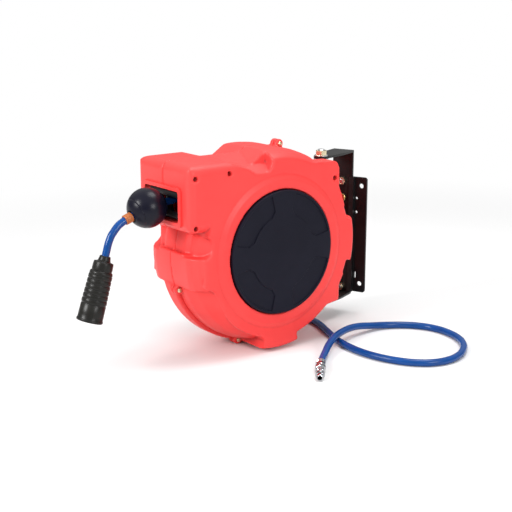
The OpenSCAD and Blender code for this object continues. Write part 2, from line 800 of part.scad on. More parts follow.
// Body of the quick coupler inside the boot.
module coupler_body() {
    color(brass) in_reel() aim(boot_start, boot_way) translate([0, 0, coupler_at]) difference() {
        union() {
            cylinder(r = 9.5, h = 14);
            cylinder(r = 8, h = 44);
        }
        translate([0, 0, -cut]) cylinder(r = 3.5, h = 44);
        translate([0, 0, 20]) cylinder(r = 5.6, h = 25);
    }
}

// Sleeve of the coupler, pulled back to let the plug go.
module coupler_sleeve() {
    color(steel) in_reel() aim(boot_start, boot_way) translate([0, 0, coupler_at + 21]) difference() {
        cylinder(r = 12.5, h = 22);
        translate([0, 0, -cut]) cylinder(r = 8 + fit, h = 23);
    }
}

// ---- Inlet ----

elbow_x = -pad_x - 33;

module inlet_elbow() {
    color(brass) in_reel() difference() {
        union() {
            mirror([1, 0, 0]) bar(8, pad_x + 8, -elbow_x + 9);
            mirror([1, 0, 0]) bar(11, pad_x + 8, pad_x + 16);
            aim([elbow_x, 0, 0], inlet_start_way) {
                cylinder(r = 7.5, h = 16);
                cylinder(r = 6, h = norm([23, 23]));
            }
        }
        mirror([1, 0, 0]) bar(4, pad_x + 7, -elbow_x + 5);
        aim([elbow_x, 0, 0], inlet_start_way) cylinder(r = 3.9, h = 40);
    }
}

// Crimped collar over the inlet hose's first end.
module inlet_collar() {
    color(steel) in_reel() aim([elbow_x, 0, 0], inlet_start_way) translate([0, 0, 22]) difference() {
        cylinder(r = 8.5, h = 20);
        translate([0, 0, -cut]) cylinder(r = hose_d / 2 + 0.15, h = 21);
    }
}

module inlet_hose() {
    color(blue) in_reel() swept_tube(inlet_route, hose_d);
}

// Puts a solid drawn along +X from the origin at the loose end of the inlet hose.
module at_inlet_end() {
    translate(inlet_route[len(inlet_route) - 1]) rotate([0, 0, nipple_way_a]) children();
}

module nipple_ferrule() {
    color(steel) in_reel() at_inlet_end() difference() {
        bar(8.5, -14, 10);
        bar(hose_d / 2 + 0.15, -14.5, 0);
        bar(4, -1, 11);
    }
}

// Plug nipple that a supply hose's coupler snaps on.
module inlet_nipple() {
    color(steel) in_reel() at_inlet_end() difference() {
        union() {
            translate([10, 0, 0]) rotate([0, 90, 0]) cylinder(r = 9, h = 9, $fn = 6);
            bar(6.5, 19, 30);
            bar(5.5, 30, 56);
            translate([38, 0, 0]) rotate([0, 90, 0]) cylinder(r1 = 5.5, r2 = 7.5, h = 3);
            bar(7.5, 41, 44);
        }
        bar(3.5, 9, 57);
    }
}

// ---- Bracket ----

arm_z = yoke_h / 2 - steel_t;     // inner face of an arm
yoke_back = wall_gap - steel_t;   // rear face of the swivel bracket
lock_z = 47;                      // height of the lock pin over the drum axis
plate_bolt_z = [78, -122];

// A cylinder along Y from y0 to y1 in the bracket frame.
module post(r, y0, y1, x, z, sides = 96) {
    translate([x, y1, z]) rotate([90, 0, 0]) cylinder(r = r, h = y1 - y0, $fn = sides);
}

// Steel swivel bracket: a back plate with an arm above and one below the case.
module yoke() {
    half = yoke_w / 2;
    color(black) in_bracket() difference() {
        union() {
            translate([-half, yoke_back - steel_t, -yoke_h / 2]) cube([yoke_w, steel_t, yoke_h]);
            for (z = [-yoke_h / 2, arm_z]) translate([0, 0, z]) linear_extrude(steel_t) union() {
                circle(13);
                polygon([[-13, 0], [13, 0], [half, 50], [half, yoke_back], [-half, yoke_back], [-half, 50]]);
            }
        }
        translate([0, 0, -yoke_h]) cylinder(r = rod_r + 0.1, h = 2 * yoke_h);
        for (z = plate_bolt_z) post(4.1, 0, wall_gap, 0, z);
        post(6, 0, wall_gap, 0, lock_z);
    }
}

// Plate that is screwed to the wall, with a channel that the swivel bracket drops into.
module wall_plate() {
    rail = 3;
    rail_x = yoke_w / 2 + 0.5;
    low = -plate_drop - plate_h / 2;
    color(black) in_bracket() difference() {
        union() {
            translate([0, wall_gap, low + plate_h / 2]) rotate([90, 0, 0]) linear_extrude(steel_t)
                round_rect(plate_w, plate_h, 5);
            for (s = [0, 1]) mirror([s, 0, 0]) {
                translate([rail_x, yoke_back - steel_t - 3.5, low]) cube([rail, steel_t + 4, plate_h]);
                translate([rail_x - 6, yoke_back - steel_t - 3.5, low]) cube([7, rail, plate_h]);
            }
        }
        for (sx = [-1, 1]) for (sz = [-1, 1])
            post(bolt_hole_r, yoke_back - 1, wall_gap + 1, sx * bolt_dx / 2, -plate_drop + sz * bolt_dz / 2);
        for (z = plate_bolt_z) post(4.1, yoke_back - 1, wall_gap + 1, 0, z);
        post(4.1, yoke_back - 1, wall_gap + 1, 0, lock_z);
        for (s = [-1, 1]) {
            for (z = [lock_z, lock_z - 26]) post(2.5, yoke_back - 1, wall_gap + 1, s * 27, z);
            translate([s * 27 - 1.5, yoke_back - 1, -104]) cube([3, steel_t + 2, 12]);
        }
    }
}

// Studs fixed flush in the wall plate.
module plate_bolts() {
    color(steel) in_bracket() for (z = plate_bolt_z) post(4, yoke_back - steel_t - 7, wall_gap, 0, z);
}

module plate_nuts() {
    color(steel) in_bracket() for (z = plate_bolt_z) difference() {
        post(7.5, yoke_back - steel_t - 6, yoke_back - steel_t, 0, z, 6);
        post(4, 0, wall_gap, 0, z);
    }
}

lock_head = 3.4;

// Brass pin with a ring-shaped head; pulled out, it frees the bracket from the wall plate.
module lock_pin() {
    face = yoke_back - steel_t - 0.1;
    color(brass) in_bracket() difference() {
        union() {
            post(7.5, face - lock_head, face, 0, lock_z);
            post(4 - fit, face - 1, wall_gap - 0.5, 0, lock_z);
        }
        post(4.5, face - lock_head - 1, face - 1.4, 0, lock_z);
    }
}

module lock_bush() {
    color(brass) in_bracket() difference() {
        post(6, yoke_back - steel_t, yoke_back, 0, lock_z);
        post(4, 0, wall_gap, 0, lock_z);
    }
}

module pivot_rod() {
    color(steel) in_bracket() translate([0, 0, -yoke_h / 2 - 12]) cylinder(r = rod_r, h = yoke_h + 24);
}

module pivot_nuts() {
    color(steel) in_bracket() for (s = [0, 1]) mirror([0, 0, s]) difference() {
        translate([0, 0, yoke_h / 2 + 1.6]) cylinder(r = 10.5, h = 8, $fn = 6);
        cylinder(r = rod_r, h = yoke_h);
    }
}

module pivot_washers() {
    color(steel) in_bracket() for (s = [0, 1]) mirror([0, 0, s]) difference() {
        translate([0, 0, yoke_h / 2]) cylinder(r = 12, h = 1.6);
        cylinder(r = rod_r, h = yoke_h);
    }
}

// Flanged plastic bush in one of the case's pivot lugs, on its upper side.
module pivot_bush() {
    top = arm_z - gap;
    color(white) in_reel() translate([0, pivot_y, 0]) difference() {
        union() {
            translate([0, 0, top - bush_flange]) cylinder(r = 13, h = bush_flange);
            translate([0, 0, top - bush_flange - 18]) cylinder(r = rod_bore_r, h = 19);
        }
        cylinder(r = rod_r + fit, h = yoke_h);
    }
}

module pivot_bush_top() {
    pivot_bush();
}

module pivot_bush_bottom() {
    translate([0, 0, 2 * plate_drop]) mirror([0, 0, 1]) pivot_bush();
}

case_right();
case_left();
side_cover_right();
side_cover_left();
case_screws();
edge_screws();
mouth_frame();
roller_top();
roller_bottom();
roller_right();
roller_left();
roller_pins();
drum_hub();
drum_flange_right();
drum_flange_left();
flange_bolts();
spring_cup_lid();
mainspring();
arbor();
bush_right();
bush_left();
ratchet_ring();
pawl();
pawl_pin();
pawl_spring();
swivel_stem();
swivel_housing();
swivel_seals();
hub_outlet();
wound_hose();
lead_out_hose();
stopper_ball();
stop_collar();
hose_band();
outlet_hose();
coupler_boot();
coupler_body();
coupler_sleeve();
inlet_elbow();
inlet_collar();
inlet_hose();
nipple_ferrule();
inlet_nipple();
pivot_rod();
pivot_nuts();
pivot_washers();
pivot_bush_top();
pivot_bush_bottom();
yoke();
wall_plate();
plate_bolts();
plate_nuts();
lock_pin();
lock_bush();
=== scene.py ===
"""Spring-rewind air hose reel on a swivelling wall bracket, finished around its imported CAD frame."""

import json
import logging
import math
from dataclasses import dataclass, field
from enum import Enum

import bpy
from mathutils import Matrix, Vector


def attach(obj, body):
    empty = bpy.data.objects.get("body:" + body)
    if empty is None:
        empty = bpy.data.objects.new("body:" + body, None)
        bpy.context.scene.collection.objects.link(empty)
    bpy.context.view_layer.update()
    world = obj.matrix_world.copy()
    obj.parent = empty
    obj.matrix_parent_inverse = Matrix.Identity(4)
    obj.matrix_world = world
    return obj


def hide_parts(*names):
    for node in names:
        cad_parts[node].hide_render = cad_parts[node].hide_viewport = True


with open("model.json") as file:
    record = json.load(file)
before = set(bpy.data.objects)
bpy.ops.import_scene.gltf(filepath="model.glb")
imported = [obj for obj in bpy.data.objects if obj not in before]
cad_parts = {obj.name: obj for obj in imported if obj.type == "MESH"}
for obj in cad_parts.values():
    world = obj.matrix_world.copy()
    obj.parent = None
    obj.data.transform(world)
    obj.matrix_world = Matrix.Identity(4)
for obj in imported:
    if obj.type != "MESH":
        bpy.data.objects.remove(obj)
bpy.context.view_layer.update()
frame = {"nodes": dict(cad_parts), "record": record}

log = logging.getLogger("hose_reel")
MM = 0.001
SWIVEL = math.radians(-22.0)
PIVOT_FROM_AXIS = 150.0
WALL_TO_PIVOT = 95.0
AXIS_HEIGHT = 22.0
YOKE_HEIGHT = 270.0
FLOOR_Z = -0.148


# ---- Frames and small helpers ----


def reel_matrix() -> Matrix:
    """Gives the matrix from the reel frame, in millimetres, to the row frame, in metres.

    Returns:
        The matrix that scales, shifts and swivels reel coordinates.
    """
    shift = Matrix.Translation((0.0, -PIVOT_FROM_AXIS, 0.0))
    swing = Matrix.Rotation(SWIVEL, 4, "Z")
    lift = Matrix.Translation((0.0, -WALL_TO_PIVOT, AXIS_HEIGHT))
    return Matrix.Scale(MM, 4) @ lift @ swing @ shift


def bracket_matrix() -> Matrix:
    """Gives the matrix from the bracket frame, in millimetres, to the row frame, in metres."""
    return Matrix.Scale(MM, 4) @ Matrix.Translation((0.0, -WALL_TO_PIVOT, AXIS_HEIGHT))


REEL = reel_matrix()
BRACKET = bracket_matrix()


def reel_point(x: float, y: float, z: float) -> Vector:
    """Places a point of the reel frame, in millimetres, in the row frame.

    Args:
        x: Distance along the drum axis.
        y: Distance towards the bracket.
        z: Height over the drum axis.

    Returns:
        The point in metres.
    """
    return REEL @ Vector((x, y, z))


def turn_to(direction: Vector) -> Matrix:
    """Gives the rotation that turns +Z to a direction."""
    return direction.to_track_quat("Z", "Y").to_matrix().to_4x4()


# ---- Finishes ----


@dataclass(frozen=True)
class Finish:
    """A surface finish, made as one material whose pattern follows the piece's own coordinates."""

    name: str
    colour: tuple[float, float, float]
    shade: tuple[float, float, float]
    roughness: float = 0.45
    roughness_spread: float = 0.08
    metallic: float = 0.0
    coat: float = 0.0
    coat_roughness: float = 0.2
    specular: float = 0.5
    mottle: float = 14.0
    grain: float = 900.0
    grain_height: float = 0.00004
    # Lighter colour painted on sharp convex edges: painted highlight, and edge wear.
    edge_wear_and_highlight: float = 0.0
    wear_and_highlight_colour: tuple[float, float, float] = (0.8, 0.8, 0.8)
    # Darker colour painted into concave creases: painted shade.
    crease_shade: float = 0.0
    crease_shade_colour: tuple[float, float, float] = (0.0, 0.0, 0.0)
    scratch: float = 0.0

    def make(self) -> bpy.types.Material:
        """Builds the material, or gives the one already built.

        Returns:
            The material.
        """
        made = bpy.data.materials.get(self.name)
        if made is not None:
            return made
        material = bpy.data.materials.new(self.name)
        material.use_nodes = True
        nodes, links = material.node_tree.nodes, material.node_tree.links
        shader = nodes["Principled BSDF"]
        shader.inputs["Metallic"].default_value = self.metallic
        shader.inputs["Coat Weight"].default_value = self.coat
        shader.inputs["Coat Roughness"].default_value = self.coat_roughness
        shader.inputs["Specular IOR Level"].default_value = self.specular
        place = nodes.new("ShaderNodeTexCoord")
        mottle = nodes.new("ShaderNodeTexNoise")
        mottle.inputs["Scale"].default_value = self.mottle
        mottle.inputs["Detail"].default_value = 4.0
        mottle.inputs["Roughness"].default_value = 0.6
        links.new(place.outputs["Object"], mottle.inputs["Vector"])
        blend = nodes.new("ShaderNodeMix")
        blend.data_type = "RGBA"
        blend.inputs["A"].default_value = (*self.colour, 1.0)
        blend.inputs["B"].default_value = (*self.shade, 1.0)
        spread = nodes.new("ShaderNodeMapRange")
        spread.inputs["From Min"].default_value = 0.35
        spread.inputs["From Max"].default_value = 0.7
        links.new(mottle.outputs["Fac"], spread.inputs["Value"])
        links.new(spread.outputs["Result"], blend.inputs["Factor"])
        colour = blend.outputs["Result"]
        # Painted shade: darkens the colour in concave creases.
        if self.crease_shade > 0.0:
            colour = self._tint(nodes, links, place, colour, (0.497, 0.455), self.crease_shade, self.crease_shade_colour)
        # Lightens the colour on sharp convex edges: painted highlight, and edge wear.
        if self.edge_wear_and_highlight > 0.0:
            colour = self._tint(nodes, links, place, colour, (0.54, 0.66), self.edge_wear_and_highlight, self.wear_and_highlight_colour)
        links.new(colour, shader.inputs["Base Color"])
        gloss = nodes.new("ShaderNodeMapRange")
        gloss.inputs["From Min"].default_value = 0.3
        gloss.inputs["From Max"].default_value = 0.7
        gloss.inputs["To Min"].default_value = self.roughness
        gloss.inputs["To Max"].default_value = self.roughness + self.roughness_spread
        source = self._scratches(nodes, links, place) if self.scratch > 0.0 else mottle
        links.new(source.outputs[0], gloss.inputs["Value"])
        links.new(gloss.outputs["Result"], shader.inputs["Roughness"])
        grain = nodes.new("ShaderNodeTexNoise")
        grain.inputs["Scale"].default_value = self.grain
        grain.inputs["Detail"].default_value = 3.0
        links.new(place.outputs["Object"], grain.inputs["Vector"])
        bump = nodes.new("ShaderNodeBump")
        bump.inputs["Strength"].default_value = 0.6
        bump.inputs["Distance"].default_value = self.grain_height
        links.new(grain.outputs["Fac"], bump.inputs["Height"])
        links.new(bump.outputs["Normal"], shader.inputs["Normal"])
        return material

    def _tint(self, nodes, links, place, colour, span: tuple, amount: float, tint: tuple):
        """Paints a tint by how sharply the surface bends, broken up by a fine noise: painted shade in creases,
        and painted highlight and edge wear on edges.

        Args:
            nodes: The material's nodes.
            links: The material's links.
            place: The coordinate node.
            colour: The socket that holds the plain colour.
            span: Bend where the tint starts, and where it is full.
            amount: Strength of the full tint.
            tint: Colour of the tint.

        Returns:
            The socket that holds the tinted colour.
        """
        shape = nodes.new("ShaderNodeNewGeometry")
        edge = nodes.new("ShaderNodeMapRange")
        edge.inputs["From Min"].default_value = span[0]
        edge.inputs["From Max"].default_value = span[1]
        edge.inputs["To Max"].default_value = amount
        links.new(shape.outputs["Pointiness"], edge.inputs["Value"])
        breaks = nodes.new("ShaderNodeTexNoise")
        breaks.inputs["Scale"].default_value = 120.0
        links.new(place.outputs["Object"], breaks.inputs["Vector"])
        uneven = nodes.new("ShaderNodeMapRange")
        uneven.inputs["From Min"].default_value = 0.3
        uneven.inputs["From Max"].default_value = 0.6
        uneven.inputs["To Min"].default_value = 0.55
        links.new(breaks.outputs["Fac"], uneven.inputs["Value"])
        part = nodes.new("ShaderNodeMath")
        part.operation = "MULTIPLY"
        links.new(edge.outputs["Result"], part.inputs[0])
        links.new(uneven.outputs["Result"], part.inputs[1])
        # Mixes in the tint: painted shade for creases, painted highlight and edge wear for edges.
        tint_mix = nodes.new("ShaderNodeMix")
        tint_mix.data_type = "RGBA"
        tint_mix.inputs["B"].default_value = (*tint, 1.0)
        links.new(part.outputs["Value"], tint_mix.inputs["Factor"])
        links.new(colour, tint_mix.inputs["A"])
        return tint_mix.outputs["Result"]

    def _scratches(self, nodes, links, place):
        """Adds fine drawn lines, as on turned or brushed metal.

        Args:
            nodes: The material's nodes.
            links: The material's links.
            place: The coordinate node.

        Returns:
            The node whose first output holds the lines.
        """
        stretch = nodes.new("ShaderNodeMapping")
        stretch.inputs["Scale"].default_value = (1.0, 1.0, self.scratch)
        links.new(place.outputs["Object"], stretch.inputs["Vector"])
        lines = nodes.new("ShaderNodeTexNoise")
        lines.inputs["Scale"].default_value = 160.0
        lines.inputs["Detail"].default_value = 5.0
        links.new(stretch.outputs["Vector"], lines.inputs["Vector"])
        return lines

    def dress(self, piece: bpy.types.Object) -> bpy.types.Object:
        """Puts the finish on a whole piece.

        Args:
            piece: The object to dress.

        Returns:
            The same object.
        """
        material = self.make()
        slots = piece.data.materials
        if len(slots) == 0:
            slots.append(material)
        for index in range(len(slots)):
            slots[index] = material
        return piece


# Red case: concave creases painted deep red as painted shade, sharp edges painted pinkish as painted highlight.
RED_CASE = Finish("red_moulded_case", (0.86, 0.052, 0.048), (0.82, 0.042, 0.040), 0.40, 0.07,
                  specular=0.35, coat=0.0, coat_roughness=0.35, mottle=9.0, grain=1400.0, grain_height=0.00005,
                  edge_wear_and_highlight=0.1, wear_and_highlight_colour=(0.95, 0.22, 0.19), crease_shade=0.9,
                  crease_shade_colour=(0.34, 0.004, 0.005))
# Navy cover: sharp panel edges painted lighter blue-grey as painted highlight.
NAVY_COVER = Finish("navy_moulded_cover", (0.0065, 0.0065, 0.0150), (0.0050, 0.0050, 0.0120), 0.42, 0.1,
                    specular=0.13, mottle=12.0, grain=1600.0, grain_height=0.00005,
                    edge_wear_and_highlight=0.95, wear_and_highlight_colour=(0.24, 0.26, 0.33))
NAVY_RUBBER = Finish("navy_rubber", (0.0045, 0.0045, 0.012), (0.003, 0.003, 0.009), 0.26, 0.10,
                     specular=0.2, mottle=20.0, grain=700.0, grain_height=0.00006)
# Black rubber: concave creases painted near black as painted shade.
BLACK_RUBBER = Finish("ribbed_black_rubber", (0.014, 0.0135, 0.0118), (0.008, 0.0078, 0.0068), 0.27, 0.12,
                      specular=0.22, mottle=40.0, grain=1100.0, grain_height=0.00006, crease_shade=0.9,
                      crease_shade_colour=(0.002, 0.002, 0.002))
# Black steel: sharp edges painted lighter grey.
BLACK_STEEL = Finish("black_powder_coat", (0.0045, 0.0045, 0.005), (0.007, 0.007, 0.0075), 0.30, 0.1,
                     specular=0.3, mottle=30.0, grain=1300.0, grain_height=0.0001,
                     edge_wear_and_highlight=0.3, wear_and_highlight_colour=(0.10, 0.10, 0.10))
ZINC = Finish("bright_zinc", (0.74, 0.75, 0.76), (0.60, 0.61, 0.62), 0.22, 0.14, metallic=1.0,
              mottle=60.0, grain=500.0, grain_height=0.00002, scratch=6.0)
YELLOW_ZINC = Finish("yellow_zinc", (0.80, 0.72, 0.50), (0.66, 0.56, 0.36), 0.26, 0.14, metallic=1.0,
                     mottle=80.0, grain=500.0, grain_height=0.00002)
CHROME = Finish("chrome", (0.50, 0.51, 0.53), (0.30, 0.30, 0.32), 0.13, 0.10, metallic=1.0,
                mottle=60.0, grain=300.0, grain_height=0.00001, scratch=8.0)
BRASS = Finish("turned_brass", (0.78, 0.60, 0.28), (0.62, 0.45, 0.18), 0.24, 0.14, metallic=1.0,
               mottle=50.0, grain=600.0, grain_height=0.00002, scratch=6.0)
BLUE_HOSE = Finish("blue_hose_skin", (0.0015, 0.056, 0.245), (0.001, 0.040, 0.18), 0.18, 0.10,
                   specular=0.3, coat=0.0, coat_roughness=0.1, mottle=18.0, grain=260.0, grain_height=0.00008)
ORANGE = Finish("orange_nylon", (0.42, 0.115, 0.018), (0.34, 0.085, 0.013), 0.36, 0.1,
                coat=0.05, mottle=60.0, grain=800.0, grain_height=0.00006)
WHITE_NYLON = Finish("white_nylon", (0.72, 0.72, 0.69), (0.62, 0.62, 0.59), 0.45, 0.1,
                     mottle=20.0, grain=900.0, grain_height=0.00005)
BLACK_NYLON = Finish("black_nylon", (0.009, 0.009, 0.010), (0.014, 0.014, 0.015), 0.42, 0.12,
                     specular=0.25, mottle=40.0, grain=900.0, grain_height=0.00008)
SPRING_STEEL = Finish("oiled_spring_steel", (0.16, 0.16, 0.17), (0.10, 0.10, 0.11), 0.3, 0.2,
                      metallic=1.0, mottle=50.0, grain=400.0, grain_height=0.00003, scratch=5.0)

CAD_FINISH = {
    RED_CASE: ["case_right", "case_left", "mouth_frame"],
    NAVY_COVER: ["side_cover_right", "side_cover_left"],
    NAVY_RUBBER: ["stopper_ball"],
    BLACK_RUBBER: ["coupler_boot", "swivel_seals"],
    BLACK_STEEL: ["yoke", "wall_plate"],
    ZINC: ["case_screws", "roller_pins", "flange_bolts", "spring_cup_lid", "arbor", "pawl_pin",
           "stop_collar", "coupler_sleeve", "pivot_rod", "pivot_washers", "plate_bolts"],
    YELLOW_ZINC: ["edge_screws", "pivot_nuts", "plate_nuts", "lock_pin"],
    CHROME: ["inlet_collar", "nipple_ferrule", "inlet_nipple"],
    BRASS: ["bush_right", "bush_left", "swivel_stem", "swivel_housing", "hub_outlet",
            "coupler_body", "inlet_elbow", "lock_bush"],
    BLUE_HOSE: ["wound_hose", "lead_out_hose", "outlet_hose", "inlet_hose"],
    ORANGE: ["hose_band", "pawl"],
    WHITE_NYLON: ["drum_hub", "drum_flange_right", "drum_flange_left", "pivot_bush_top",
                  "pivot_bush_bottom"],
    BLACK_NYLON: ["ratchet_ring", "roller_top", "roller_bottom", "roller_right", "roller_left"],
    SPRING_STEEL: ["mainspring", "pawl_spring"],
}


def dress_frame() -> None:
    """Puts its finish on every CAD node, shown or hidden."""
    for finish, names in CAD_FINISH.items():
        for name in names:
            finish.dress(frame["nodes"][name])


# ---- Stage ----


@dataclass
class Studio:
    """Camera, soft lights and pale floor."""

    camera_place: tuple[float, float, float] = (0.8556, -1.7654, 0.4503)
    azimuth: float = 30.6
    elevation: float = 14.2
    lens: float = 75.94
    horizon: float = 0.10
    zenith: float = 0.95
    backdrop: float = 1.0
    near: float = 0.62
    far: float = 1.5
    panels: list = field(default_factory=lambda: [
        ("key", (-0.85, -1.9, 0.95), 0.8, 34.0),
        ("side", (1.9, -1.0, 0.75), 0.8, 19.0),
        ("top", (0.25, 0.1, 1.7), 0.9, 15.0),
    ])

    def place_camera(self) -> None:
        """Sets the camera at the viewing angle."""
        data = bpy.data.cameras.new("camera")
        data.lens = self.lens
        data.sensor_width = 36.0
        camera = bpy.data.objects.new("camera", data)
        bpy.context.collection.objects.link(camera)
        camera.location = self.camera_place
        camera.rotation_euler = (math.radians(90.0 - self.elevation), 0.0, math.radians(self.azimuth))
        bpy.context.scene.camera = camera

    def hang_lights(self) -> None:
        """Hangs the area lights and sets the pale surroundings."""
        aim = Vector((0.0, -0.25, 0.0))
        for name, place, size, power in self.panels:
            data = bpy.data.lights.new(name, "AREA")
            data.shape = "DISK"
            data.size = size
            data.energy = power
            light = bpy.data.objects.new(name, data)
            bpy.context.collection.objects.link(light)
            light.location = place
            light.rotation_euler = (Vector(place) - aim).to_track_quat("Z", "Y").to_euler()
        world = bpy.data.worlds.new("pale_surroundings")
        bpy.context.scene.world = world
        world.use_nodes = True
        nodes, links = world.node_tree.nodes, world.node_tree.links
        ground = nodes["Background"]
        ground.inputs["Color"].default_value = (1.0, 1.0, 1.0, 1.0)
        way = nodes.new("ShaderNodeTexCoord")
        split = nodes.new("ShaderNodeSeparateXYZ")
        links.new(way.outputs["Generated"], split.inputs["Vector"])
        rise = nodes.new("ShaderNodeMapRange")
        rise.inputs["From Min"].default_value = 0.0
        rise.inputs["From Max"].default_value = 0.8
        rise.inputs["To Min"].default_value = self.horizon
        rise.inputs["To Max"].default_value = self.zenith
        links.new(split.outputs["Z"], rise.inputs["Value"])
        seen = nodes.new("ShaderNodeLightPath")
        level = nodes.new("ShaderNodeMix")
        level.inputs["B"].default_value = self.backdrop
        links.new(seen.outputs["Is Camera Ray"], level.inputs["Factor"])
        links.new(rise.outputs["Result"], level.inputs["A"])
        links.new(level.outputs["Result"], ground.inputs["Strength"])
        bpy.context.scene.view_settings.view_transform = "Standard"

    def lay_floor(self) -> None:
        """Lays the pale floor that the inlet hose lies on."""
        bpy.ops.object.select_all(action="DESELECT")
        bpy.ops.mesh.primitive_plane_add(size=30.0, location=(0.0, 0.0, FLOOR_Z - 0.0002))
        floor = bpy.context.object
        floor.name = "floor"
        material = bpy.data.materials.new("pale_floor")
        material.use_nodes = True
        shader = material.node_tree.nodes["Principled BSDF"]
        nodes, links = material.node_tree.nodes, material.node_tree.links
        shader.inputs["Base Color"].default_value = (0.78, 0.78, 0.78, 1.0)
        shader.inputs["Roughness"].default_value = 0.8
        shader.inputs["Specular IOR Level"].default_value = 0.0
        place = nodes.new("ShaderNodeTexCoord")
        reach = nodes.new("ShaderNodeVectorMath")
        reach.operation = "LENGTH"
        links.new(place.outputs["Object"], reach.inputs[0])
        fade = nodes.new("ShaderNodeMapRange")
        fade.interpolation_type = "SMOOTHSTEP"
        fade.inputs["From Min"].default_value = self.near
        fade.inputs["From Max"].default_value = self.far
        links.new(reach.outputs["Value"], fade.inputs["Value"])
        glow = nodes.new("ShaderNodeEmission")
        either = nodes.new("ShaderNodeMixShader")
        links.new(fade.outputs["Result"], either.inputs["Fac"])
        links.new(shader.outputs["BSDF"], either.inputs[1])
        links.new(glow.outputs["Emission"], either.inputs[2])
        links.new(either.outputs["Shader"], nodes["Material Output"].inputs["Surface"])
        floor.data.materials.append(material)

# ---- Making pieces ----


BODY_OF = {node: body for body, nodes in frame["record"]["behaviour"]["bodies"].items() for node in nodes}
SPECK = 0.002


class Edge(Enum):
    """How sharp a crease stays under smooth shading, in degrees."""

    SOFT = 60.0
    MOULDED = 38.0
    MACHINED = 26.0


def begin(piece: bpy.types.Object) -> None:
    """Selects one piece alone, makes it active and opens all of it for shaping."""
    bpy.ops.object.select_all(action="DESELECT")
    piece.select_set(True)
    bpy.context.view_layer.objects.active = piece
    bpy.ops.object.mode_set(mode="EDIT")
    bpy.ops.mesh.select_all(action="SELECT")


def end() -> None:
    """Merges doubled points, turns the normals outwards and closes the shaping."""
    bpy.ops.mesh.select_all(action="SELECT")
    bpy.ops.mesh.remove_doubles(threshold=SPECK)
    bpy.ops.mesh.normals_make_consistent(inside=False)
    bpy.ops.object.mode_set(mode="OBJECT")


def settle(piece: bpy.types.Object, place: Matrix) -> bpy.types.Object:
    """Moves a piece's mesh by a matrix, leaving the object at the origin.

    Args:
        piece: The piece to move.
        place: The matrix to move it by.

    Returns:
        The same piece.
    """
    bpy.ops.object.select_all(action="DESELECT")
    piece.select_set(True)
    bpy.context.view_layer.objects.active = piece
    piece.matrix_world = place
    bpy.ops.object.transform_apply(location=True, rotation=True, scale=True)
    return piece


def turned(name: str, rings: list, sides: int = 64) -> bpy.types.Object:
    """Turns a piece about Z from its rings, in millimetres.

    Args:
        name: The piece's name.
        rings: Pairs of radius and height, in order along the skin. Where the last pair is the first
            again, the skin closes on itself, and otherwise its two ends are capped.
        sides: Points round each ring.

    Returns:
        The turned piece.
    """
    bpy.ops.object.select_all(action="DESELECT")
    radius, height = max(rings[0][0], SPECK / 4), rings[0][1]
    bpy.ops.mesh.primitive_circle_add(vertices=sides, radius=radius, location=(0.0, 0.0, height))
    piece = bpy.context.object
    piece.name = name
    settle(piece, piece.matrix_world.copy())
    begin(piece)
    for wanted, rise in rings[1:]:
        wanted = max(wanted, SPECK / 4)
        bpy.ops.mesh.extrude_region_move(TRANSFORM_OT_translate={"value": (0.0, 0.0, rise - height)})
        grow = wanted / radius
        bpy.ops.transform.resize(value=(grow, grow, 1.0), center_override=(0.0, 0.0, rise))
        radius, height = wanted, rise
    bpy.ops.mesh.select_all(action="SELECT")
    bpy.ops.mesh.remove_doubles(threshold=SPECK)
    bpy.ops.mesh.fill_holes(sides=0)
    end()
    return piece


def slab(name: str, outline: list, low: float, high: float) -> bpy.types.Object:
    """Extrudes an outline up along Z, in millimetres.

    Args:
        name: The piece's name.
        outline: The outline's points, in order.
        low: Height of the lower face.
        high: Height of the upper face.

    Returns:
        The extruded piece.
    """
    bpy.ops.object.select_all(action="DESELECT")
    bpy.ops.mesh.primitive_plane_add(size=1.0, location=(0.0, 0.0, 0.0))
    piece = bpy.context.object
    piece.name = name
    begin(piece)
    bpy.ops.mesh.merge(type="CENTER")
    at = Vector((0.0, 0.0, 0.0))
    first = Vector((*outline[0], low))
    bpy.ops.transform.translate(value=first - at)
    at = first
    for point in outline[1:]:
        after = Vector((*point, low))
        bpy.ops.mesh.extrude_region_move(TRANSFORM_OT_translate={"value": after - at})
        at = after
    bpy.ops.mesh.select_all(action="SELECT")
    bpy.ops.mesh.edge_face_add()
    bpy.ops.mesh.extrude_region_move(TRANSFORM_OT_translate={"value": (0.0, 0.0, high - low)})
    end()
    return piece


def apply_modifier(piece: bpy.types.Object, kind: str, **settings) -> None:
    """Adds a modifier with its settings and applies it at once.

    Args:
        piece: The piece to change.
        kind: Blender's name for the modifier's kind.
        settings: Values set on the modifier.
    """
    bpy.ops.object.select_all(action="DESELECT")
    piece.select_set(True)
    bpy.context.view_layer.objects.active = piece
    modifier = piece.modifiers.new(kind.lower(), kind)
    for key, value in settings.items():
        setattr(modifier, key, value)
    bpy.ops.object.modifier_apply(modifier=modifier.name)


def cut(piece: bpy.types.Object, tools: list) -> bpy.types.Object:
    """Cuts tools out of a piece and throws the tools away.

    Args:
        piece: The piece to cut.
        tools: The cutting pieces.

    Returns:
        The cut piece.
    """
    for tool in tools:
        apply_modifier(piece, "BOOLEAN", operation="DIFFERENCE", object=tool, solver="EXACT")
        bpy.data.objects.remove(tool, do_unlink=True)
    return piece


def gather(pieces: list, name: str) -> bpy.types.Object:
    """Joins pieces into one.

    Args:
        pieces: The pieces to join.
        name: Name of the joined piece.

    Returns:
        The joined piece.
    """
    bpy.ops.object.select_all(action="DESELECT")
    for piece in pieces:
        piece.select_set(True)
    bpy.context.view_layer.objects.active = pieces[0]
    bpy.ops.object.join()
    pieces[0].name = name
    return pieces[0]


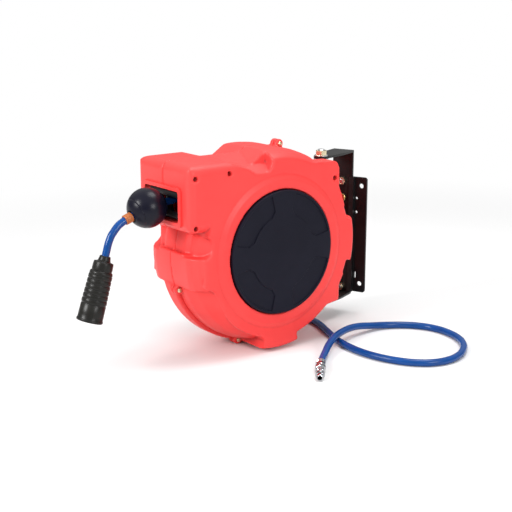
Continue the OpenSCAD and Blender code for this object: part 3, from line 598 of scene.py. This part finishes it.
def repeat(piece: bpy.types.Object, places: list) -> list:
    """Copies a piece, each copy with its own mesh, to every place after the first.

    Args:
        piece: The piece to copy, still at its own origin.
        places: A matrix for every copy, the first for the piece itself.

    Returns:
        The pieces in their places.
    """
    out = [piece]
    for _ in places[1:]:
        copy = bpy.data.objects.new(piece.name, piece.data.copy())
        bpy.context.collection.objects.link(copy)
        out.append(copy)
    return [settle(one, place) for one, place in zip(out, places)]


def bring(node: str, name: str, place: Matrix) -> bpy.types.Object:
    """Copies a CAD node's mesh into a new piece, merged, in a working frame in millimetres.

    Args:
        node: The CAD node.
        name: The new piece's name.
        place: The matrix from the working frame to the row frame.

    Returns:
        The new piece.
    """
    piece = bpy.data.objects.new(name, frame["nodes"][node].data.copy())
    bpy.context.collection.objects.link(piece)
    settle(piece, place.inverted())
    begin(piece)
    end()
    return piece


def soften(piece: bpy.types.Object, width: float, segments: int = 2) -> bpy.types.Object:
    """Rounds the sharp edges of a piece.

    Args:
        piece: The piece to round.
        width: Width of the rounding in millimetres.
        segments: Faces across the rounding.

    Returns:
        The same piece.
    """
    begin(piece)
    bpy.ops.mesh.dissolve_limited(angle_limit=math.radians(0.6))
    end()
    apply_modifier(piece, "BEVEL", width=width, segments=segments, limit_method="ANGLE",
                   angle_limit=math.radians(32.0), use_clamp_overlap=True, miter_outer="MITER_ARC")
    return piece


def fit(piece: bpy.types.Object, nodes: list, finish: Finish, edge: Edge = Edge.MACHINED) -> bpy.types.Object:
    """Dresses a piece in place, hangs it on its body and hides the CAD nodes it stands for.

    Args:
        piece: The piece, already in the row frame.
        nodes: The CAD nodes it stands for.
        finish: Its finish.
        edge: How sharp its creases stay.

    Returns:
        The same piece.
    """
    finish.dress(piece)
    bpy.ops.object.select_all(action="DESELECT")
    piece.select_set(True)
    bpy.context.view_layer.objects.active = piece
    if piece.type == "MESH":
        bpy.ops.object.shade_smooth_by_angle(angle=math.radians(edge.value))
        if edge is not Edge.SOFT:
            apply_modifier(piece, "WEIGHTED_NORMAL", keep_sharp=True, weight=80)
    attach(piece, BODY_OF[nodes[0]])
    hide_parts(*nodes)
    log.info("%s stands for %s", piece.name, ", ".join(nodes))
    return piece


def pointing(place: Vector, way: Vector) -> Matrix:
    """Gives the matrix from a frame drawn along +Z, in millimetres, to a place and way of the reel frame."""
    return REEL @ Matrix.Translation(place) @ turn_to(way)


# ---- Hoses ----


@dataclass
class Hose:
    """A free hose on its route, in millimetres of the reel frame."""

    name: str
    node: str
    route: list
    far_end: str
    lay: str
    diameter: float = 12.0

    def length(self) -> float:
        """Gives the length of the route in metres."""
        points = [Vector(point) for point in self.route]
        return sum((b - a).length for a, b in zip(points, points[1:])) * MM

    def build(self) -> bpy.types.Object:
        """Lays the hose as one smooth curve."""
        bpy.ops.object.select_all(action="DESELECT")
        bpy.ops.curve.primitive_bezier_curve_add(location=(0.0, 0.0, 0.0))
        hose = bpy.context.object
        hose.name = self.name
        line = hose.data.splines[0]
        line.bezier_points.add(len(self.route) - 2)
        for knot, point in zip(line.bezier_points, self.route):
            knot.co = reel_point(*point)
            knot.handle_left_type = knot.handle_right_type = "AUTO"
        hose.data.dimensions = "3D"
        hose.data.resolution_u = 8
        hose.data.bevel_depth = self.diameter / 2 * MM
        hose.data.bevel_resolution = 6
        hose.data.use_fill_caps = True
        return fit(hose, [self.node], BLUE_HOSE)

    def declare(self) -> None:
        """Logs the length of the hose.
        """
        log.info("%s is %.3f m long", self.name, self.length())


@dataclass
class Outlet:
    """Free end of the working hose: hose, ribbed boot, coupler and its sleeve."""

    route: list = field(default_factory=lambda: [
        (0, -230.5, 78.8), (0, -237.7, 76.2), (0, -245, 73.5), (0, -251.5, 70.5), (0, -258, 67),
        (0, -263.5, 62.5), (0, -268.5, 57), (0, -273, 51.5), (0, -276.5, 45), (0, -279.5, 38),
        (0, -282, 29.5), (0, -284.7, 21), (0, -287.5, 12.5), (0, -290.2, 4), (0, -293, -4.6)])
    boot_place: Vector = Vector((0.0, -284.7, 21.0))
    boot_tilt: float = math.radians(18.0)
    boot_length: float = 104.0
    mouth_radius: float = 21.0
    rib_radius: float = 18.5
    ribs: int = 6
    rib_start: float = 30.0
    rib_pitch: float = 7.7
    rib_growth: float = 0.27

    def boot_rings(self) -> list:
        """Gives the rings of the boot, from its neck to its open end and back inside."""
        rings = [(6.15, 0.0), (7.7, 0.0), (8.4, 0.6), (8.8, 2.0), (9.4, 5.5), (10.0, 7.8), (11.2, 8.6),
                 (14.6, 9.4), (15.4, 10.4), (15.7, 12.5), (16.1, 20.5), (15.9, 22.2), (15.6, 23.4),
                 (16.9, 24.4), (17.8, 25.6), (18.1, 27.0), (18.2, 29.2)]
        for index in range(self.ribs):
            z = self.rib_start + index * self.rib_pitch
            r = self.rib_radius + index * self.rib_growth
            rings += [(r - 0.8, z), (r - 0.15, z + 0.7), (r, z + 1.3), (r + 0.1, z + 5.2),
                      (r - 0.05, z + 6.0), (r - 0.7, z + 6.8)]
        end_z = self.boot_length
        r = self.mouth_radius
        rings += [(r - 1.9, end_z - 27.4), (r - 1.3, end_z - 26.6), (r - 1.0, end_z - 12.0),
                  (r - 1.0, end_z - 4.6), (r - 0.6, end_z - 3.9), (r - 0.1, end_z - 3.2), (r, end_z - 2.4),
                  (r - 0.1, end_z - 0.6), (r - 0.6, end_z), (r - 2.0, end_z), (r - 2.8, end_z - 0.8),
                  (16.2, end_z - 15.0), (14.0, end_z - 30.0), (14.0, 42.0), (9.65, 42.0), (9.65, 26.5),
                  (6.15, 26.5), (6.15, 0.0)]
        return rings

    def build(self) -> None:
        """Makes the hose with the pieces on its end."""
        way = Vector((0.0, -math.sin(self.boot_tilt), -math.cos(self.boot_tilt)))
        place = pointing(self.boot_place, way)
        hose = Hose("outlet_hose_run", "outlet_hose", self.route, "connector", "hanging")
        run = hose.build()
        boot = fit(settle(turned("ribbed_boot", self.boot_rings(), 72), place), ["coupler_boot"],
                   BLACK_RUBBER, Edge.SOFT)
        body_rings = [(3.5, 27.0), (8.9, 27.0), (9.5, 27.6), (9.5, 33.0), (9.1, 33.4), (9.5, 33.8),
                      (9.5, 40.4), (8.9, 41.0), (8.0, 41.0), (8.0, 70.4), (7.4, 71.0), (6.1, 71.0),
                      (5.6, 70.5), (5.6, 47.0), (3.5, 45.4), (3.5, 27.0)]
        body = fit(settle(turned("coupler_barrel", body_rings, 48), place), ["coupler_body"], BRASS)
        grip = [(8.1, 48.0), (11.7, 48.0), (12.5, 48.8)]
        for index in range(7):
            z = 51.0 + index * 2.2
            grip += [(12.5, z), (12.1, z + 0.5), (12.1, z + 0.9), (12.5, z + 1.4)]
        grip += [(12.5, 69.2), (11.7, 70.0), (8.1, 70.0), (8.1, 48.0)]
        sleeve = fit(settle(turned("coupler_ring", grip, 64), place), ["coupler_sleeve"], ZINC)
        hose.declare()


@dataclass
class Inlet:
    """Supply side: elbow on the swivel, crimped collar, hose on the floor and its plug nipple."""

    start: Vector = Vector((-113.0, 0.0, 0.0))
    start_way: Vector = Vector((0.0, 1.0, -1.0))
    route: list = field(default_factory=lambda: [
        (-113, 23, -23), (-113, 30, -30), (-113, 38, -38.5), (-113, 49, -56), (-112, 61, -78),
        (-110, 74, -100), (-107, 86, -120), (-101, 98, -138), (-90, 110, -152), (-74, 121, -161),
        (-54, 130, -164), (-30, 136, -164), (-2, 137, -164), (28, 130, -164), (58, 118, -164),
        (88, 106, -164), (118, 96, -164), (150, 90, -164), (182, 89, -164), (214, 94, -164),
        (244, 105, -164), (270, 122, -164), (288, 146, -164), (294, 174, -164), (289, 203, -164),
        (275, 230, -164), (254, 254, -164), (227, 271, -164), (197, 279, -164), (166, 278, -164),
        (138, 266, -164), (116, 246, -164), (101, 220, -163), (95, 191, -160), (96, 162, -155),
        (101, 134, -152), (110, 106, -151.5), (121, 80, -153), (135, 56, -157), (151, 34, -162),
        (169, 12, -164), (189, -8, -164)])
    nipple_heading: float = math.radians(-42.0)

    def nipple(self, place: Matrix) -> bpy.types.Object:
        """Turns the plug nipple with its hexagon.

        Args:
            place: The matrix of the hose's loose end.

        Returns:
            The nipple in place.
        """
        shank = [(3.5, 19.2), (5.9, 19.2), (6.5, 19.8), (6.5, 23.0), (6.0, 23.5), (6.0, 25.0), (6.5, 25.5),
                 (6.5, 29.4), (5.9, 30.0), (5.5, 30.2), (5.5, 37.6), (5.9, 38.4), (7.2, 40.4), (7.5, 41.0),
                 (7.5, 43.2), (7.1, 44.0), (5.6, 44.4), (5.5, 45.0), (5.5, 54.6), (5.0, 55.6), (4.4, 56.0),
                 (3.9, 56.0), (3.5, 55.5), (3.5, 19.2)]
        nut = [(3.5, 10.0), (7.4, 10.0), (8.9, 10.9), (8.9, 18.1), (7.4, 19.2), (3.5, 19.2), (3.5, 10.0)]
        hexagon = turned("nipple_hexagon", nut, 6)
        return settle(gather([turned("plug_nipple", shank, 48), hexagon], "plug_nipple"), place)

    def build(self) -> None:
        """Makes the hose with its fittings at both ends."""
        hose = Hose("inlet_hose_run", "inlet_hose", self.route, "fitting", "loose")
        run = hose.build()
        heading = Vector((math.cos(self.nipple_heading), math.sin(self.nipple_heading), 0.0))
        place = pointing(Vector(self.route[-1]), heading)
        crimp = [(6.15, -14.0), (7.9, -14.0), (8.4, -13.4), (8.4, -11.0), (7.7, -10.4), (7.7, -8.6),
                 (8.4, -8.0), (8.4, -5.6), (7.7, -5.0), (7.7, -3.2), (8.4, -2.6), (8.5, 4.0), (8.5, 8.6),
                 (7.6, 9.9), (4.0, 9.9), (4.0, 0.2), (6.15, 0.2), (6.15, -14.0)]
        ferrule = fit(settle(turned("hose_ferrule", crimp, 48), place), ["nipple_ferrule"], CHROME)
        nipple = fit(self.nipple(place), ["inlet_nipple"], CHROME)
        hose.declare()
        collar = [(6.15, 22.0), (7.9, 22.0), (8.5, 22.7), (8.5, 27.0), (7.8, 27.7), (7.8, 30.0), (8.5, 30.7),
                  (8.5, 34.0), (7.8, 34.7), (7.8, 37.0), (8.5, 37.7), (8.5, 41.4), (7.9, 42.0),
                  (6.15, 42.0), (6.15, 22.0)]
        fit(settle(turned("crimped_collar", collar, 48), pointing(self.start, self.start_way)),
            ["inlet_collar"], ZINC)
        elbow = soften(bring("inlet_elbow", "brass_elbow", REEL), 0.7)
        fit(settle(elbow, REEL), ["inlet_elbow"], BRASS)


# ---- Stopper ----


@dataclass
class Stopper:
    """Rubber ball on the hose at the mouth, with its orange band."""

    place: Vector = Vector((0.0, -208.0, 87.0))
    radius: float = 32.0
    exit_tilt: float = math.radians(20.0)
    groove_angle: float = math.radians(50.0)
    lead_tilt: float = math.radians(4.0)

    def ball_rings(self) -> list:
        """Gives the rings of the ball, from the bore in its exit over the skin to its back."""
        rings = [(0.0, -8.0), (6.15, -8.0), (6.15, 22.5), (7.2, 24.4), (9.6, 29.2)]
        start = math.asin(10.6 / self.radius)
        steps = 56
        for index in range(steps + 1):
            angle = start + (math.pi - start) * index / steps
            near = abs(angle - self.groove_angle) * self.radius
            dip = 0.45 * max(0.0, 1.0 - near / 0.9) ** 0.5 if near < 0.9 else 0.0
            r = self.radius - dip
            rings.append((r * math.sin(angle), r * math.cos(angle)))
            step = (math.pi - start) / steps
            if angle < self.groove_angle < angle + step:
                for shift in (-0.8, 0.0, 0.8):
                    at = self.groove_angle + shift / self.radius
                    r = self.radius - (0.5 if shift == 0.0 else 0.0)
                    rings.append((r * math.sin(at), r * math.cos(at)))
        return rings

    def build(self) -> None:
        """Makes the ball and the band."""
        way = Vector((0.0, -1.0, -math.tan(self.exit_tilt)))
        ball = turned("stopper_ball_skin", self.ball_rings(), 96)
        back = Vector((0.0, 1.0, math.tan(self.lead_tilt)))
        sunk = turned("clamp_bore", [(0.0, -3.0), (6.15, -3.0), (6.15, 18.0), (9.3, 18.0), (9.3, 40.0),
                                     (0.0, 40.0)], 48)
        settle(sunk, turn_to(way).inverted() @ turn_to(back))
        place = pointing(self.place, way)
        fit(settle(cut(ball, [sunk]), place), ["stopper_ball"], NAVY_RUBBER, Edge.SOFT)
        band = [(6.15, 30.5), (7.5, 30.5), (8.0, 31.2), (8.0, 33.4), (7.8, 33.8), (8.0, 34.2), (8.05, 37.0),
                (8.0, 39.8), (7.8, 40.2), (8.0, 40.6), (8.0, 42.8), (7.5, 43.5), (6.15, 43.5), (6.15, 30.5)]
        fit(settle(turned("orange_band", band, 48), place), ["hose_band"], ORANGE)


# ---- Case ----


@dataclass
class Cover:
    """Round cover of a side, a dish with four sunk panels."""

    seat: float = 72.2
    top: float = 84.0
    rim: float = 103.6
    inner: float = 64.0
    chamfer: float = 9.0
    sink: float = 2.2
    half_angle: float = math.radians(31.0)

    def panel(self, middle: float) -> bpy.types.Object:
        """Makes the cutting tool of one sunk panel.

        Args:
            middle: Angle of the panel's middle, in radians.

        Returns:
            The tool.
        """
        outer = self.rim - 5.0
        turn = self.half_angle
        lean = self.chamfer / self.inner
        inside = [(self.inner, middle + (turn - lean) * (index / 6.0 - 1.0)) for index in range(13)]
        inside = [(self.inner + self.chamfer, middle - turn), *inside,
                  (self.inner + self.chamfer, middle + turn)]
        outside = [(outer, middle + turn * (1.0 - index / 7.0)) for index in range(15)]
        spots = [(r * math.cos(a), r * math.sin(a)) for r, a in inside + outside]
        return slab("panel_tool", spots, self.top - self.sink, self.top + 4.0)

    def build(self, side: int) -> None:
        """Makes the cover of one side.

        Args:
            side: 1 for the right cover, -1 for the left one with the hole for the swivel.
        """
        r, top = self.rim, self.top
        dish = [(0.0, top), (14.0, top), (self.inner - 3.0, top), (r - 3.6, top), (r - 1.6, top - 0.4),
                (r - 0.5, top - 1.4), (r, top - 3.0), (r, self.seat), (r - 3.0, self.seat),
                (r - 3.0, top - 5.0), (14.0, top - 5.0), (0.0, top - 5.0)]
        if side < 0:
            dish = [(14.0, top), *dish[2:-2], (14.0, top - 5.0), (14.0, top)]
        name = "right_cover" if side > 0 else "left_cover"
        cover = turned(name, dish, 128)
        cut(cover, [self.panel(math.radians(45.0 + 90.0 * index)) for index in range(4)])
        soften(cover, 0.9, 3)
        aim = Matrix(((0, 0, side, 0), (side, 0, 0, 0), (0, 1, 0, 0), (0, 0, 0, 1)))
        node = "side_cover_right" if side > 0 else "side_cover_left"
        fit(settle(cover, REEL @ aim), [node], NAVY_COVER)


@dataclass
class Case:
    """Moulded case: two halves, covers, mouth frame, rollers and screws."""

    voxel: float = 1.9
    rounds: int = 5
    sink: float = 63.0
    screws: tuple = ((-166.0, 138.0), (-102.0, 140.0), (117.0, 110.0), (-166.0, 60.0))
    ear_screws: tuple = ((-156.0, -54.0), (50.0, 166.0), (-38.0, -162.0))

    def half(self, node: str, name: str) -> None:
        """Makes one half of the case with soft moulded edges.

        Args:
            node: The CAD node it stands for.
            name: The piece's name.
        """
        shell = bring(node, name, REEL)
        apply_modifier(shell, "REMESH", mode="VOXEL", voxel_size=self.voxel, adaptivity=0.0)
        apply_modifier(shell, "SMOOTH", factor=0.5, iterations=self.rounds)
        fit(settle(shell, REEL), [node], RED_CASE, Edge.SOFT)

    def screw(self, name: str, head: float, rise: float, shank: float) -> bpy.types.Object:
        """Makes a cross-recessed screw along +Z with its seat at the origin.

        Args:
            name: The piece's name.
            head: Radius of the head.
            rise: Height of the head.
            shank: Length of the shank.

        Returns:
            The screw.
        """
        rings = [(0.0, rise), (head * 0.45, rise), (head * 0.8, rise * 0.82), (head * 0.97, rise * 0.45),
                 (head, 0.25), (head - 0.2, 0.0), (1.85, 0.0), (1.85, -shank + 1.5), (0.6, -shank), (0.0, -shank)]
        blade = head * 0.62
        tools = []
        for half_x, half_y in ((blade, 0.45), (0.45, blade)):
            corners = [(-half_x, -half_y), (half_x, -half_y), (half_x, half_y), (-half_x, half_y)]
            tools.append(slab("recess_tool", corners, rise - 1.1, rise + 1.0))
        return cut(turned(name, rings, 32), tools)

    def hang_screws(self) -> None:
        """Puts in the sunk screws and the ones in the ears."""
        aim = Matrix(((0, 0, 1, 0), (1, 0, 0, 0), (0, 1, 0, 0), (0, 0, 0, 1)))
        sunk = self.screw("case_screw", 3.8, 2.6, 56.0)
        places = [REEL @ Matrix.Translation((self.sink, y, z)) @ aim for y, z in self.screws]
        fit(gather(repeat(sunk, places), "case_screw_set"), ["case_screws"], ZINC)
        small = self.screw("ear_screw", 4.0, 2.5, 16.0)
        places = [REEL @ Matrix.Translation((9.0, y, z)) @ aim for y, z in self.ear_screws]
        fit(gather(repeat(small, places), "ear_screw_set"), ["edge_screws"], YELLOW_ZINC)

    def rollers(self) -> None:
        """Turns the four guide rollers with their end rims."""
        mouth, gap, radius, row = 91.0, 22.0, 6.0, -170.0
        across, upright = 86.0, 44.0
        high, back = gap / 2 + radius, row + 2 * radius + 3.0
        spots = {
            "roller_top": (across, Matrix.Translation((0.0, row, mouth + high)) @ turn_to(Vector((1, 0, 0)))),
            "roller_bottom": (across, Matrix.Translation((0.0, row, mouth - high)) @ turn_to(Vector((1, 0, 0)))),
            "roller_right": (upright, Matrix.Translation((high, back, mouth))),
            "roller_left": (upright, Matrix.Translation((-high, back, mouth))),
        }
        for node, (length, place) in spots.items():
            half = length / 2
            rings = [(2.55, -half), (4.6, -half), (5.2, 0.6 - half), (5.9, 2.4 - half), (6.0, 3.2 - half),
                     (6.0, 7.0 - half), (5.8, 7.4 - half), (5.8, half - 7.4), (6.0, half - 7.0),
                     (6.0, half - 3.2), (5.9, half - 2.4), (5.2, half - 0.6), (4.6, half), (2.55, half),
                     (2.55, -half)]
            fit(settle(turned(node + "_sleeve", rings, 48), REEL @ place), [node], BLACK_NYLON)

    def build(self) -> None:
        """Makes the whole case."""
        self.half("case_right", "right_half")
        self.half("case_left", "left_half")
        for side in (1, -1):
            Cover().build(side)
        fit(settle(soften(bring("mouth_frame", "mouth_rim", REEL), 1.0, 3), REEL), ["mouth_frame"],
            RED_CASE, Edge.MOULDED)
        self.hang_screws()
        self.rollers()


# ---- Bracket ----


@dataclass
class Bracket:
    """Swivel bracket, wall plate and their fasteners, in the bracket frame."""

    wall: float = 95.0
    steel: float = 4.0
    lock_height: float = 47.0
    rod_radius: float = 6.0
    rod_end: float = 147.0
    thread: float = 11.0

    def rod(self) -> None:
        """Turns the pivot rod with its threaded ends."""
        low = [(0.0, -self.rod_end), (5.0, -self.rod_end)]
        count = int(self.thread / 1.25)
        for index in range(count):
            z = -self.rod_end + 0.8 + index * 1.25
            low += [(6.0, z), (5.35, z + 0.62)]
        low.append((6.0, -self.rod_end + 0.8 + count * 1.25))
        high = [(r, -z) for r, z in reversed(low)]
        rod = turned("threaded_rod", low + high, 48)
        fit(settle(rod, BRACKET), ["pivot_rod"], ZINC)

    def plates(self) -> None:
        """Softens the edges of the pressed steel."""
        fit(settle(soften(bring("yoke", "swivel_bracket", BRACKET), 1.3, 3), BRACKET), ["yoke"],
            BLACK_STEEL, Edge.MOULDED)
        fit(settle(soften(bring("wall_plate", "channel_plate", BRACKET), 0.7, 2), BRACKET),
            ["wall_plate"], BLACK_STEEL, Edge.MOULDED)

    def fasteners(self) -> None:
        """Softens the nuts and washers and turns the lock pin."""
        for node, name, width, finish in (
            ("pivot_nuts", "rod_nuts", 0.9, YELLOW_ZINC), ("pivot_washers", "rod_washers", 0.4, ZINC),
            ("plate_nuts", "stud_nuts", 0.7, YELLOW_ZINC), ("plate_bolts", "plate_studs", 0.6, ZINC),
            ("lock_bush", "brass_bush", 0.3, BRASS),
        ):
            fit(settle(soften(bring(node, name, BRACKET), width), BRACKET), [node], finish)
        face = self.wall - 2 * self.steel - 0.1
        pin = [(0.0, face - 1.4), (4.2, face - 1.4), (4.5, face - 1.7), (4.6, face - 3.0), (5.0, face - 3.4),
               (6.9, face - 3.4), (7.4, face - 2.9), (7.5, face - 2.2), (7.5, face - 0.6), (7.0, face),
               (3.95, face), (3.95, self.wall - 1.4), (3.2, self.wall - 0.5), (0.0, self.wall - 0.5)]
        aim = Matrix.Translation((0.0, 0.0, self.lock_height)) @ turn_to(Vector((0.0, 1.0, 0.0)))
        fit(settle(turned("lock_pin_ring", pin, 48), BRACKET @ aim), ["lock_pin"], BRASS)

    def build(self) -> None:
        """Makes the whole bracket."""
        self.rod()
        self.plates()
        self.fasteners()


def main() -> None:
    """Builds the scene in order."""
    logging.basicConfig(level=logging.INFO, format="%(name)s: %(message)s")
    studio = Studio()
    studio.place_camera()
    Outlet().build()
    Inlet().build()
    studio.hang_lights()
    studio.lay_floor()
    dress_frame()
    Stopper().build()
    Case().build()
    Bracket().build()
    log.info("all pieces are in place")


if __name__ == "__main__":
    main()
